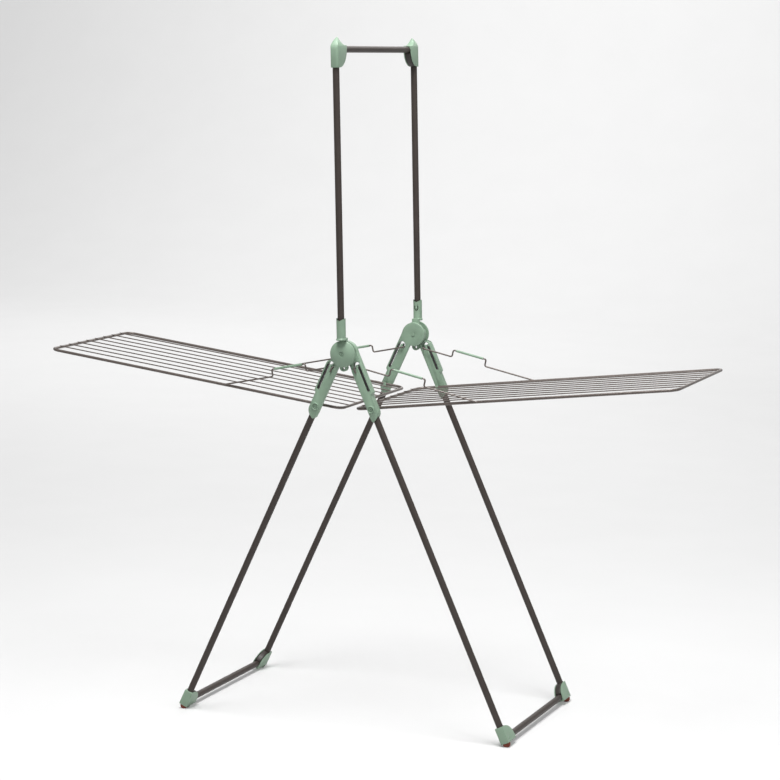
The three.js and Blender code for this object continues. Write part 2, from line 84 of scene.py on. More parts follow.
HOLDER_W = 263.5
HOLDER_DEPTH = 12.4
HOLDER_RADIUS = 26  # 30 in the CAD
LUG_REACH = 48
LUG_HALF_WIDTH = 11
LUG_HOLE_RADIUS = 4
LUG_HOLE_REACH = 39
HUB_PIN_RADIUS = 4
POST_W = 279
RAIL_RISE = 811
RAIL_LEAN = math.radians(-1.86)
NECK_HALF_WIDTH = 10
SOCKET_RADIUS = 12.5
SOCKET_TOP = 97
COLLAR_BOTTOM = 37.3
COLLAR_HEIGHT = 6
COLLAR_RADIUS = 14
SOCKET_FLOOR = 4
RIM_NOTCH = 7
BUTTON_RADIUS = 3.2
BUTTON_DROP = 23
BUTTON_PROUD = 1
GROOVE_INNER = BUTTON_RADIUS + 0.2
GROOVE_OUTER = BUTTON_RADIUS + 2.8
GROOVE_ARM = 6

CAP_WALL = 2.6
CAP_REACH = 48
FOOT_REACH = 34
ELBOW_START = 22
HORN_RISE = 33
HORN_INSET = 11
HORN_START = 4  # from the bar's axis; the cap narrows from here on
HORN_CURVE = 16
PAD_RADIUS = 10.5
PAD_SKIRT = 2
TAB_START = 3
TAB_END = 14
TAB_DEPTH = 17.3
DIMPLE_RADIUS = 2.6
DIMPLE_DEPTH = 1.6
CAP_LIP = 2  # the back of a cap reaches this far past its side walls

WING_TILT = math.radians(7)
WING_INNER = 60
WING_OUTER = 843.5
OUTER_RAIL_W = 233
INNER_RAIL_W = 228
RAIL_RADIUS = 4
WING_CORNER = 24
WIRE_RADIUS = 1.7  # 1.5 in the CAD
WIRE_COUNT = 8
WIRE_LIFT = 3.5

STAY_RADIUS = 2.25
STAY_REACH = 296
HUMP_NEAR = 93
HUMP_LENGTH = 102
HUMP_HEIGHT = 20
STAY_BEND = 5
STAY_HOOK = 2.4
PLUG_INNER = 29
PLUG_PAST_STAY = 16
SLEEVE_WALL = 0.9
SLEEVE_INSET = 9
PIN_TAIL = 14  # the stay's end is bent down this far on the bracket's outer face

RIVET_RADIUS = 2.5
RIVET_HEAD = 4.6
PIN_HEAD = 4.8
HUB_RECESS = 6.2
HUB_RECESS_DEPTH = 3
BOSS_RADIUS = 10
BOSS_RISE = 3
BOSS_RECESS = 7.4

METRES = Matrix.Scale(0.001, 4)
MERGE_DISTANCE = 0.02
CREASE = math.radians(38)  # edges sharper than this are rounded
EDGE_SIDES = 64  # facets around discs and sockets
TUBE_SIDES = 32
WIRE_SIDES = 12

# ---- worked out from the above ----
PIVOT_X = HUB_TO_PIVOT * math.sin(LEG_ANGLE) + LEG_OFFSET * math.cos(LEG_ANGLE)
PIVOT_Z = BAR_HEIGHT + PIVOT_TO_BAR * math.cos(LEG_ANGLE)
HUB_Z = PIVOT_Z + HUB_TO_PIVOT * math.cos(LEG_ANGLE) - LEG_OFFSET * math.sin(LEG_ANGLE)
TUBE_CLEAR = TUBE_RADIUS + GAP
CAP_TAIL = TUBE_CLEAR + CAP_WALL
HOLDER_IN_W = HOLDER_W - HOLDER_DEPTH / 2
HOLDER_OUT_W = HOLDER_W + HOLDER_DEPTH / 2
OUTER_DISC_W = HOLDER_OUT_W + GAP
INNER_DISC_W = HOLDER_IN_W - GAP
SOCKET_SEAT = COLLAR_BOTTOM + COLLAR_HEIGHT + SOCKET_FLOOR
OPEN_ANGLE = math.pi / 2 - WING_TILT + LEG_ANGLE
STAY_LENGTH = math.sqrt(
    POCKET_HEIGHT**2 + STAY_REACH**2 - 2 * POCKET_HEIGHT * STAY_REACH * math.cos(OPEN_ANGLE)
)
STAY_ANGLE = math.asin(POCKET_HEIGHT * math.sin(OPEN_ANGLE) / STAY_LENGTH)
STAY_LINE = RAIL_RADIUS + GAP + STAY_RADIUS


# ---- materials ----
class Surface:
    """A material with one Principled shader, and the few node chains that every surface here needs."""

    def __init__(self, name):
        self.material = bpy.data.materials.new(name)
        self.material.use_nodes = True
        self.nodes = self.material.node_tree.nodes
        self.links = self.material.node_tree.links
        self.shader = self.nodes["Principled BSDF"]
        self.place = self.nodes.new("ShaderNodeTexCoord").outputs["Object"]

    def set(self, **values):
        for name, value in values.items():
            self.shader.inputs[name.replace("_", " ")].default_value = value

    def noise(self, scale, detail=3.0):
        node = self.nodes.new("ShaderNodeTexNoise")
        node.inputs["Scale"].default_value = scale
        node.inputs["Detail"].default_value = detail
        self.links.new(self.place, node.inputs["Vector"])
        return node.outputs["Fac"]

    def colours(self, factor, *stops):
        ramp = self.nodes.new("ShaderNodeValToRGB")
        for element, (position, colour) in zip(ramp.color_ramp.elements, stops):
            element.position = position
            element.color = (*colour, 1)
        self.links.new(factor, ramp.inputs["Fac"])
        self.links.new(ramp.outputs["Color"], self.shader.inputs["Base Color"])

    def roughness(self, factor, low, high):
        spread = self.nodes.new("ShaderNodeMapRange")
        spread.inputs["To Min"].default_value = low
        spread.inputs["To Max"].default_value = high
        self.links.new(factor, spread.inputs["Value"])
        self.links.new(spread.outputs["Result"], self.shader.inputs["Roughness"])

    def bump(self, height, distance, strength=1.0):
        node = self.nodes.new("ShaderNodeBump")
        node.inputs["Strength"].default_value = strength
        node.inputs["Distance"].default_value = distance
        self.links.new(height, node.inputs["Height"])
        self.links.new(node.outputs["Normal"], self.shader.inputs["Normal"])


def green_plastic():
    """Moulded sage green plastic with a fine spark-eroded grain."""
    surface = Surface("green_plastic")
    surface.set(IOR=1.48, Specular_IOR_Level=0.45)
    surface.colours(surface.noise(45, 4), (0.3, (0.205, 0.295, 0.215)), (0.7, (0.222, 0.318, 0.232)))
    surface.roughness(surface.noise(160), 0.36, 0.5)
    surface.bump(surface.noise(1800, 2), 0.00004, 0.35)
    return surface.material


def dark_plastic():
    """Near-black moulded plastic of the inner elbows; also the painted shade of the dark sheets in the
    bracket slots.
    """
    surface = Surface("dark_plastic")
    surface.set(IOR=1.48, Specular_IOR_Level=0.4)
    surface.colours(surface.noise(60), (0.3, (0.030, 0.025, 0.022)), (0.7, (0.038, 0.032, 0.028)))
    surface.roughness(surface.noise(200), 0.38, 0.52)
    surface.bump(surface.noise(1500, 2), 0.00005, 0.4)
    return surface.material


def rubber():
    """Dull brick red rubber with a dusty, pitted skin."""
    surface = Surface("rubber")
    surface.set(Specular_IOR_Level=0.25)
    surface.colours(surface.noise(90, 5), (0.3, (0.150, 0.035, 0.022)), (0.75, (0.205, 0.060, 0.040)))
    surface.roughness(surface.noise(300), 0.7, 0.9)
    surface.bump(surface.noise(900, 4), 0.00015, 0.5)
    return surface.material


def painted_tube():
    """Anthracite-brown powder coat: satin, with a fine orange-peel."""
    surface = Surface("painted_tube")
    surface.set(Metallic=0.05, Specular_IOR_Level=0.35)
    surface.colours(surface.noise(25, 4), (0.3, (0.040, 0.031, 0.027)), (0.7, (0.047, 0.037, 0.032)))
    surface.roughness(surface.noise(220), 0.42, 0.54)
    surface.bump(surface.noise(1100, 3), 0.00006, 0.35)
    return surface.material


def coated_wire():
    """Brown-grey coated steel wire, a little metallic."""
    surface = Surface("coated_wire")
    surface.set(Metallic=0.35, Coat_Weight=0.2, Coat_Roughness=0.25)
    surface.colours(surface.noise(30, 4), (0.3, (0.098, 0.080, 0.071)), (0.7, (0.118, 0.098, 0.087)))
    surface.roughness(surface.noise(240), 0.3, 0.42)
    surface.bump(surface.noise(1300, 2), 0.00004, 0.35)
    return surface.material


def floor_paint():
    """Plain pale studio floor."""
    surface = Surface("studio_floor")
    surface.set(Specular_IOR_Level=0.1, Emission_Color=(1, 1, 1, 1), Emission_Strength=0.15)
    surface.colours(surface.noise(3), (0.3, (0.55, 0.55, 0.55)), (0.7, (0.56, 0.56, 0.56)))
    surface.roughness(surface.noise(10), 0.85, 0.95)
    return surface.material


MATERIALS = {
    make.__name__: make()
    for make in (green_plastic, dark_plastic, rubber, painted_tube, coated_wire)
}


# ---- shapes, as bmesh ----
def arc(x, z, radius, start, end, steps=16):
    angles = [math.radians(start + (end - start) * i / steps) for i in range(steps + 1)]
    return [(x + radius * math.cos(a), z + radius * math.sin(a)) for a in angles]


def bezier(*controls, steps=12):
    """Points of a quadratic or cubic Bezier curve, without the first one."""
    order = len(controls) - 1
    points = []
    for i in range(1, steps + 1):
        t = i / steps
        weights = [math.comb(order, k) * t**k * (1 - t) ** (order - k) for k in range(order + 1)]
        points.append(tuple(sum(w * c[axis] for w, c in zip(weights, controls)) for axis in (0, 1)))
    return points


def prism(points, low, high, across="Y"):
    """A closed outline extruded along Y (points are x, z), X (points are y, z) or Z (points are x, y)."""
    order = {"Y": lambda a, b, t: (a, t, b), "X": lambda a, b, t: (t, a, b), "Z": lambda a, b, t: (a, b, t)}
    at = order[across]
    shape = bmesh.new()
    first = [shape.verts.new(at(a, b, low)) for a, b in points]
    second = [shape.verts.new(at(a, b, high)) for a, b in points]
    shape.faces.new(first)
    shape.faces.new(reversed(second))
    for i in range(len(points)):
        j = (i + 1) % len(points)
        shape.faces.new((first[i], second[i], second[j], first[j]))
    bmesh.ops.recalc_face_normals(shape, faces=shape.faces)
    return shape


def box(x0, x1, y0, y1, z0, z1):
    return prism([(x0, z0), (x1, z0), (x1, z1), (x0, z1)], min(y0, y1), max(y0, y1))


def lathe(profile, origin=(0, 0, 0), axis=(0, 0, 1), sides=TUBE_SIDES, ring=False):
    """Turns (radius, height) points about an axis. A ring's profile is a closed loop off the axis."""
    shape = bmesh.new()
    loops = []
    for radius, height in profile:
        if radius == 0:
            loops.append([shape.verts.new((0, 0, height))])
            continue
        angles = [2 * math.pi * i / sides for i in range(sides)]
        loops.append([shape.verts.new((radius * math.cos(a), radius * math.sin(a), height)) for a in angles])
    pairs = list(zip(loops, loops[1:]))
    if ring:
        pairs.append((loops[-1], loops[0]))
    for low, high in pairs:
        for i in range(sides):
            j = (i + 1) % sides
            corners = [low[i % len(low)], low[j % len(low)], high[j % len(high)], high[i % len(high)]]
            shape.faces.new(list(dict.fromkeys(corners)))
    turn = Vector((0, 0, 1)).rotation_difference(Vector(axis)).to_matrix().to_4x4()
    bmesh.ops.transform(shape, matrix=Matrix.Translation(origin) @ turn, verts=shape.verts)
    bmesh.ops.recalc_face_normals(shape, faces=shape.faces)
    return shape


def rod(start, end, radius, sides=TUBE_SIDES):
    start = Vector(start)
    along = Vector(end) - start
    return lathe([(0, 0), (radius, 0), (radius, along.length), (0, along.length)], start, along, sides)


def rod_across(radius, y0, y1, x, z, sides=TUBE_SIDES):
    return rod((x, y0, z), (x, y1, z), radius, sides)


def ball(radius):
    points = [(radius * math.sin(math.pi * i / 16), -radius * math.cos(math.pi * i / 16)) for i in range(17)]
    points[0] = (0, -radius)
    points[-1] = (0, radius)
    return lathe(points)


def pipe(start, end, radius=TUBE_RADIUS, wall=TUBE_WALL):
    """A tube with its edges eased."""
    start = Vector(start)
    along = Vector(end) - start
    length = along.length
    ease = wall / 4
    profile = [
        (radius - wall, 0),
        (radius - ease, 0),
        (radius, ease),
        (radius, length - ease),
        (radius - ease, length),
        (radius - wall, length),
    ]
    return lathe(profile, start, along, ring=True)


def round_corners(corners, bends, steps=8):
    """A path of straight runs and round bends; bends gives the radius at each inner corner."""
    points = [Vector(corners[0])]
    for before, here, after, bend in zip(corners, corners[1:], corners[2:], bends):
        corner = Vector(here)
        back = (Vector(before) - corner).normalized()
        ahead = (Vector(after) - corner).normalized()
        half = back.angle(ahead) / 2
        centre = corner + (back + ahead).normalized() * bend / math.sin(half)
        start = corner + back * bend / math.tan(half) - centre
        end = corner + ahead * bend / math.tan(half) - centre
        axis = start.cross(end).normalized()
        for i in range(steps + 1):
            turn = Matrix.Rotation(start.angle(end) * i / steps, 3, axis)
            points.append(centre + turn @ start)
    points.append(Vector(corners[-1]))
    return points


def sweep(points, radius, sides=WIRE_SIDES, loop=False):
    """A round bar along a path."""
    shape = bmesh.new()
    count = len(points)
    before = [points[i - 1] if loop or i else points[0] for i in range(count)]
    after = [points[(i + 1) % count] if loop or i < count - 1 else points[-1] for i in range(count)]
    tangents = [(b - a).normalized() for a, b in zip(before, after)]
    normal = tangents[0].orthogonal().normalized()
    loops = []
    for point, tangent in zip(points, tangents):
        normal = (normal - tangent * normal.dot(tangent)).normalized()
        side = tangent.cross(normal)
        angles = [2 * math.pi * k / sides for k in range(sides)]
        ring = [point + radius * (math.cos(a) * normal + math.sin(a) * side) for a in angles]
        loops.append([shape.verts.new(p) for p in ring])
    pairs = list(zip(loops, loops[1:]))
    if loop:
        pairs.append((loops[-1], loops[0]))
    else:
        shape.faces.new(reversed(loops[0]))
        shape.faces.new(loops[-1])
    for low, high in pairs:
        for k in range(sides):
            m = (k + 1) % sides
            shape.faces.new((low[k], low[m], high[m], high[k]))
    bmesh.ops.recalc_face_normals(shape, faces=shape.faces)
    return shape


# ---- meshes ----
def as_object(shape):
    mesh = bpy.data.meshes.new("shape")
    shape.to_mesh(mesh)
    shape.free()
    piece = bpy.data.objects.new("shape", mesh)
    bpy.context.scene.collection.objects.link(piece)
    return piece


def finished(piece, sharp=35):
    """Applies a piece's modifiers, smooths its curved faces and takes the mesh out of the scene."""
    depsgraph = bpy.context.evaluated_depsgraph_get()
    mesh = bpy.data.meshes.new_from_object(piece.evaluated_get(depsgraph))
    mesh.shade_smooth()
    mesh.set_sharp_from_angle(angle=math.radians(sharp))
    bpy.data.objects.remove(piece)
    return mesh


def smooth(*shapes):
    """Shapes that only lie together in one mesh, such as the welded wires of a wing."""
    whole = bmesh.new()
    for shape in shapes:
        part = bpy.data.meshes.new("part")
        shape.to_mesh(part)
        shape.free()
        whole.from_mesh(part)
        bpy.data.meshes.remove(part)
    return finished(as_object(whole))


def carved(add, cut=(), keep=(), edge=0.8, segments=2, sharp=35):
    """A moulding: shapes joined, others cut away or intersected, and its edges rounded."""
    piece = as_object(add[0])
    tools = []
    for operation, shapes in (("UNION", add[1:]), ("INTERSECT", keep), ("DIFFERENCE", cut)):
        for shape in shapes:
            modifier = piece.modifiers.new(operation, "BOOLEAN")
            modifier.operation = operation
            modifier.solver = "EXACT"
            modifier.object = as_object(shape)
            tools.append(modifier.object)
    weld = piece.modifiers.new("weld", "WELD")
    weld.merge_threshold = MERGE_DISTANCE
    bevel = piece.modifiers.new("edges", "BEVEL")
    bevel.width = edge
    bevel.segments = segments
    bevel.limit_method = "ANGLE"
    bevel.angle_limit = CREASE
    bevel.use_clamp_overlap = False
    mesh = finished(piece, sharp)
    for tool in tools:
        bpy.data.objects.remove(tool)
    return mesh


def place(name, mesh, where, material, body, *nodes):
    """One piece: a copy of the mesh, put where it belongs, that rides on a body and stands for CAD nodes."""
    data = mesh.copy()
    data.transform(METRES @ where)
    data.materials.clear()
    data.materials.append(MATERIALS[material])
    piece = bpy.data.objects.new(name, data)
    bpy.context.scene.collection.objects.link(piece)
    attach(piece, body)
    if nodes:
        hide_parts(*nodes)
    return piece


# ---- corner caps, elbows and pads ----
# Corner frame: origin where two tube axes meet, X along the bar, Z along the leg or post, Y across.
def corner_frame(position, bar, leg):
    across = Vector(leg).cross(Vector(bar))
    turn = Matrix((bar, across, leg)).transposed().to_4x4()
    return Matrix.Translation(position) @ turn


def side_wall(bar_reach, leg_reach, start=0):
    """A quarter of an ellipse about the corner, without the strips that the two tubes take."""
    first = math.asin(start / leg_reach)
    last = math.acos(start / bar_reach)
    points = [(start, start)]
    for i in range(29):
        angle = first + (last - first) * i / 28
        points.append((bar_reach * math.cos(angle), leg_reach * math.sin(angle)))
    return points


def cap_room():
    """What is taken out of either cap: both tubes, and the space between its side walls."""
    long = 2 * CAP_REACH
    return [
        rod((0, 0, 0), (0, 0, long), TUBE_CLEAR),
        rod((0, 0, 0), (long, 0, 0), TUBE_CLEAR),
        ball(TUBE_CLEAR),
        box(0, long, -TUBE_CLEAR, TUBE_CLEAR, 0, long),
    ]


def foot_cap(inner):
    """A channel around both tubes with rounded side walls. inner is the side that has the tab."""
    end = CAP_REACH + CAP_LIP
    outline = [(-CAP_TAIL, FOOT_REACH), (-CAP_TAIL, -CAP_TAIL), (end, -CAP_TAIL), (end, 0)]
    outline += side_wall(CAP_REACH, FOOT_REACH)[1:]
    tab = [(TAB_START, -TUBE_CLEAR), (TAB_END, -TUBE_CLEAR), (TAB_END - 2, -TAB_DEPTH)]
    tab += [(TAB_START, -TAB_DEPTH)]
    notch = [(TAB_END + 0.5, -CAP_TAIL - 2), (TAB_END + 6, -CAP_TAIL - 2), (TAB_END + 2, -CAP_TAIL + 3)]
    dimple = (5, -inner * (CAP_TAIL - DIMPLE_DEPTH), -4)
    past = (5, -inner * 2 * CAP_TAIL, -4)
    return carved(
        [
            prism(outline, -CAP_TAIL, CAP_TAIL),
            prism(tab, *sorted((inner * (TUBE_CLEAR + 0.2), inner * (CAP_TAIL - 0.01)))),
        ],
        cap_room()
        + [
            prism(notch, *sorted((inner * TUBE_CLEAR, inner * 2 * CAP_TAIL))),
            rod(dimple, past, DIMPLE_RADIUS),
        ],
        edge=1.1,
        segments=3,
    )


def top_cap():
    """The same channel with a pointed horn, rounded as seen from above, from the side and along the bar."""
    long = 2 * CAP_REACH
    wide = CAP_TAIL + 0.05
    pull = HORN_CURVE - HORN_RISE
    back = 1 - CAP_TAIL
    end = CAP_REACH + CAP_LIP
    side = [(-wide, CAP_REACH), (-wide, HORN_START)]
    side += bezier(side[-1], (-wide, pull), (HORN_INSET, -HORN_RISE))
    side += bezier(side[-1], (HORN_INSET + 5, -CAP_TAIL - 2), (CAP_REACH - 10, back))
    side += [(end, back), (end, 0)]
    side += side_wall(CAP_REACH, CAP_REACH)[1:]
    along = [(-wide, long), (-wide, HORN_START)]
    along += bezier(along[-1], (-wide, pull), (0, -HORN_RISE - 1))
    along += bezier(along[-1], (wide, pull), (wide, HORN_START))
    along += [(wide, long)]
    corner = 7
    above = arc(corner - CAP_TAIL, corner - CAP_TAIL, corner, 270, 180, 10)
    above += arc(corner - CAP_TAIL, CAP_TAIL - corner, corner, 180, 90, 10)
    above += [(2 * long, CAP_TAIL), (2 * long, -CAP_TAIL)]
    return carved(
        [prism(side, -2 * wide, 2 * wide)],
        cap_room(),
        keep=[prism(along, -2 * long, 3 * long, "X"), prism(above, -2 * long, 2 * long, "Z")],
        edge=0.7,
        sharp=55,
    )


def elbow(leg_reach):
    """The dark filling between a cap's side walls."""
    bend = TUBE_RADIUS - GAP
    half = TUBE_RADIUS - 1
    return carved(
        [
            ball(bend),
            rod((0, 0, 0), (0, 0, ELBOW_START - GAP), bend),
            rod((0, 0, 0), (ELBOW_START - GAP, 0, 0), bend),
            prism(side_wall(CAP_REACH + 1, leg_reach + 1, TUBE_CLEAR + GAP), -half, half),
            box(bend / 2, ELBOW_START - GAP, -half, half, bend / 2, ELBOW_START - GAP),
        ],
        edge=2.2,
        segments=4,
    )


def foot_pad(up):
    """A rubber dome under the corner, cut level with the floor."""
    top = -CAP_TAIL - GAP
    deep = 80
    floor = box(-deep, deep, -deep, deep, -2 * deep, -BAR_HEIGHT)
    turn = Vector((0, 0, 1)).rotation_difference(up).to_matrix().to_4x4()
    bmesh.ops.transform(floor, matrix=turn, verts=floor.verts)
    profile = [(0, 0), (PAD_RADIUS, 0), (PAD_RADIUS, PAD_SKIRT)]
    for i in range(1, 13):
        angle = math.pi / 2 * i / 12
        profile.append((PAD_RADIUS * math.cos(angle), PAD_SKIRT + PAD_RADIUS * math.sin(angle)))
    dome = lathe(profile, (0, 0, top), (0, 0, -1))
    return carved([dome], [floor], edge=0.6, sharp=60)


# ---- brackets ----
# Leg frame: origin at the wing pivot, X inwards, Z up along the leg, y = out * w.
def arm_outline(rounded):
    """The lip either goes around the slot's arch and ends behind the disc, or runs into the disc's edge."""
    shoulder = HUB_TO_PIVOT - DISC_RADIUS
    arch_x = -SLOT_X / 2
    points = [(-LIP_EDGE, HUB_TO_PIVOT)]
    if rounded:
        points = [(arch_x, HUB_TO_PIVOT - DISC_RADIUS / 2)]
        points += arc(arch_x, ARCH_HEIGHT, LIP_EDGE + arch_x, 90, 180, 16)
    points += [(-LIP_EDGE, LIP_STEP), (-ARM_HALF_WIDTH, LIP_STEP - LIP_FADE), (-ARM_HALF_WIDTH, -10)]
    points += bezier(points[-1], (-ARM_HALF_WIDTH + 2, -TIP_DROP + 8), (TIP_SHIFT, -TIP_DROP))
    points += bezier(points[-1], (ARM_HALF_WIDTH - 1, -TIP_DROP + 10), (ARM_HALF_WIDTH, -12))
    points += [(ARM_HALF_WIDTH, shoulder + 8), (LEG_OFFSET, HUB_TO_PIVOT)]
    return points


def cane_slot(y0, y1):
    """The slot: straight along the arm, then an arch over to the pocket on the leg's axis."""
    half = SLOT_WIDTH / 2
    centre = -SLOT_X / 2
    points = arc(-SLOT_X, SLOT_FOOT + half, half, 180, 360, 10)
    points += arc(centre, ARCH_HEIGHT, SLOT_X / 2 - half, 180, 0, 12)
    points += arc(0, POCKET_HEIGHT, half, 180, 360, 10)
    points += arc(centre, ARCH_HEIGHT, SLOT_X / 2 + half, 0, 180, 16)
    return prism(points, min(y0, y1), max(y0, y1))


def boss(out, leg_w):
    """The raised ring around the wing pivot, with a recess for the rivet's head."""
    face = leg_w + ARM_HALF_DEPTH
    profile = [(0, -2), (BOSS_RADIUS, -2), (BOSS_RADIUS, BOSS_RISE - 1), (BOSS_RADIUS - 1, BOSS_RISE)]
    profile += [(BOSS_RECESS + 0.5, BOSS_RISE), (BOSS_RECESS, BOSS_RISE - 0.5), (BOSS_RECESS, 0.3), (0, 0.3)]
    return lathe(profile, (0, out * face, 0), (0, out, 0), EDGE_SIDES)


def lug_room(out):
    """The space between the two discs in which the post holder's lug swings."""
    room = LUG_REACH + 2
    return rod_across(room, out * INNER_DISC_W, out * OUTER_DISC_W, LEG_OFFSET, HUB_TO_PIVOT, EDGE_SIDES)


def bracket_cuts(out, leg_w):
    y0 = out * (INNER_DISC_W - 2 * INNER_DISC_DEPTH)
    y1 = out * (OUTER_DISC_W + 2 * INNER_DISC_DEPTH)
    return [
        rod((0, out * leg_w, -2 * TIP_DROP), (0, out * leg_w, TUBE_INSERTION + GAP), TUBE_CLEAR),
        cane_slot(y0, y1),
        rod_across(RIVET_RADIUS + GAP, y0, y1, 0, 0),
        rod_across(HUB_PIN_RADIUS + GAP, y0, y1, LEG_OFFSET, HUB_TO_PIVOT),
        lug_room(out),
    ]


def lap_cut(y0, y1):
    deep = 2 * TIP_DROP
    return box(LEG_OFFSET - GAP, 2 * ARM_HALF_WIDTH, y0, y1, -deep, HUB_TO_PIVOT + DISC_RADIUS)


def hub_dome(out):
    """The outer disc: a crisp rim, a soft dome and a recess for the pin's head."""
    rim = OUTER_DISC_DEPTH
    rest = OUTER_DISC_RADIUS
    profile = [(0, 0), (rest, 0), (rest, rim - 1), (rest - 1, rim)]
    for i in range(1, 16):
        spread = 1 - i / 16
        radius = HUB_RECESS + 0.5 + (rest - 1.5 - HUB_RECESS) * spread
        profile.append((radius, rim + DOME_RISE * (1 - spread**2.2)))
    top = rim + DOME_RISE
    profile += [(HUB_RECESS, top - 0.4), (HUB_RECESS, top - HUB_RECESS_DEPTH), (0, top - HUB_RECESS_DEPTH)]
    origin = (LEG_OFFSET, out * OUTER_DISC_W, HUB_TO_PIVOT)
    return lathe(profile, origin, (0, out, 0), EDGE_SIDES)


def outer_laps(out):
    """What the outer bracket gives up to the inner one: a strip past the hub's line, and behind the disc."""
    behind = OUTER_LEG_W - 2 * ARM_HALF_DEPTH
    face = OUTER_LEG_W + ARM_HALF_DEPTH
    return [
        lap_cut(out * behind, out * (face - FLANGE_DEPTH)),
        rod_across(DISC_RADIUS + 1, out * behind, out * OUTER_DISC_W, LEG_OFFSET, HUB_TO_PIVOT, EDGE_SIDES),
    ]


def inner_laps(out):
    """What the inner bracket gives up to the outer one: a strip past the hub's line."""
    face = INNER_LEG_W - ARM_HALF_DEPTH
    return [lap_cut(out * (face + FLANGE_DEPTH), out * (INNER_LEG_W + 2 * ARM_HALF_DEPTH))]


def outer_bracket(out):
    leg_w = OUTER_LEG_W
    face = leg_w + ARM_HALF_DEPTH
    arm = prism(arm_outline(True), *sorted((out * (leg_w - ARM_HALF_DEPTH), out * face)))
    return carved([arm, boss(out, leg_w), hub_dome(out)], [*outer_laps(out), *bracket_cuts(out, leg_w)])


def slot_painted_shade(out, leg_w):
    """A dark sheet inside the straight part of the slot, a little below both faces: painted shade in the
    slot.
    """
    reach = ARM_HALF_DEPTH - SHADE_SHEET_DEPTH
    outer = SLOT_WIDTH / 2 - SHADE_SHEET_GAP
    inner = SLOT_WIDTH / 2 - SHADE_SHEET_WALL
    foot = SLOT_FOOT + SLOT_WIDTH / 2
    points = arc(-SLOT_X, foot, outer, 180, 360, 10)
    points += [(outer - SLOT_X, SHADE_SHEET_TOP), (inner - SLOT_X, SHADE_SHEET_TOP)]
    points += arc(-SLOT_X, foot, inner, 360, 180, 10)
    points += [(-inner - SLOT_X, SHADE_SHEET_TOP), (-outer - SLOT_X, SHADE_SHEET_TOP)]
    return smooth(prism(points, *sorted((out * (leg_w - reach), out * (leg_w + reach)))))


def inner_bracket(out):
    leg_w = INNER_LEG_W
    face = leg_w - ARM_HALF_DEPTH
    arm = prism(arm_outline(False), *sorted((out * face, out * (leg_w + ARM_HALF_DEPTH))))
    profile = [(0, 0), (DISC_RADIUS - 1, 0), (DISC_RADIUS, 1), (DISC_RADIUS, INNER_DISC_DEPTH)]
    origin = (LEG_OFFSET, out * (INNER_DISC_W - INNER_DISC_DEPTH), HUB_TO_PIVOT)
    disc = lathe(profile + [(0, INNER_DISC_DEPTH)], origin, (0, out, 0), EDGE_SIDES)
    return carved([arm, boss(out, leg_w), disc], [*inner_laps(out), *bracket_cuts(out, leg_w)])


def tubular_rivet(out, tail_w, seat_w, radius, head):
    """A shank with a domed head and a hollow in it, and a flat tail."""
    length = seat_w - tail_w
    profile = [(0, -1.6), (head - 0.5, -1.6), (head, -1), (head, 0), (radius, 0), (radius, length)]
    profile += [(head, length), (head, length + 0.5), (head * 0.8, length + 1.3), (head * 0.5, length + 1.5)]
    profile += [(head * 0.38, length + 1), (head * 0.3, length - 1), (0, length - 1)]
    return smooth(lathe(profile, (0, out * tail_w, 0), (0, out, 0)))


# ---- wings and stays ----
def wing_mesh(low, high):
    """Rails and end bars are one bent loop; the drying wires lie on the end bars and are welded there."""
    outer = -WING_OUTER
    middle = (WING_INNER + outer) / 2
    ends = [(middle, low, 0), (WING_INNER, low, 0), (WING_INNER, high, 0), (outer, high, 0)]
    ends += [(outer, low, 0), (middle, low, 0)]
    path = round_corners(ends, [WING_CORNER] * 4)
    parts = [sweep(path[:-1], RAIL_RADIUS, 20, loop=True)]
    pitch = (high - low) / (WIRE_COUNT + 1)
    for i in range(1, WIRE_COUNT + 1):
        y = low + i * pitch
        ends = [(outer - WIRE_RADIUS, y, WIRE_LIFT), (WING_INNER + WIRE_RADIUS, y, WIRE_LIFT)]
        parts.append(rod(*ends, WIRE_RADIUS, WIRE_SIDES))
        for x in (outer, WING_INNER):
            parts.append(weld(x, y))
    return smooth(*parts)


def weld(x, y):
    """A small bead where a wire meets an end bar."""
    profile = [(0, -0.4), (2.3, -0.4), (2.0, 0.6), (1.2, 1.1), (0, 1.2)]
    return lathe(profile, (x, y, RAIL_RADIUS - 1.6), sides=WIRE_SIDES)


def stay_mesh(out, rail_w, leg_w, tail):
    """Bent wire: out of the rail, along with a hump, then through the bracket's slot and down."""
    y = out * (rail_w + STAY_LINE)
    face = out * (leg_w + ARM_HALF_DEPTH + GAP + STAY_RADIUS)
    hump_end = STAY_LENGTH - HUMP_NEAR
    hump_start = hump_end - HUMP_LENGTH
    corners = [
        (0, out * (rail_w - RAIL_RADIUS - STAY_RADIUS), 0),
        (0, y, 0),
        (hump_start, y, 0),
        (hump_start, y, HUMP_HEIGHT),
        (hump_end, y, HUMP_HEIGHT),
        (hump_end, y, 0),
        (STAY_LENGTH, y, 0),
        (STAY_LENGTH, face, 0),
        Vector((STAY_LENGTH, face, 0)) + tail * PIN_TAIL,
    ]
    bends = [STAY_HOOK] + 4 * [STAY_BEND] + 2 * [STAY_HOOK]
    return smooth(sweep(round_corners(corners, bends), STAY_RADIUS))


def sleeve_mesh(out, rail_w):
    y = out * (rail_w + STAY_LINE)
    end = STAY_LENGTH - HUMP_NEAR - SLEEVE_INSET
    start = STAY_LENGTH - HUMP_NEAR - HUMP_LENGTH + SLEEVE_INSET
    radius = STAY_RADIUS + GAP + SLEEVE_WALL
    return smooth(pipe((start, y, HUMP_HEIGHT), (end, y, HUMP_HEIGHT), radius, SLEEVE_WALL))


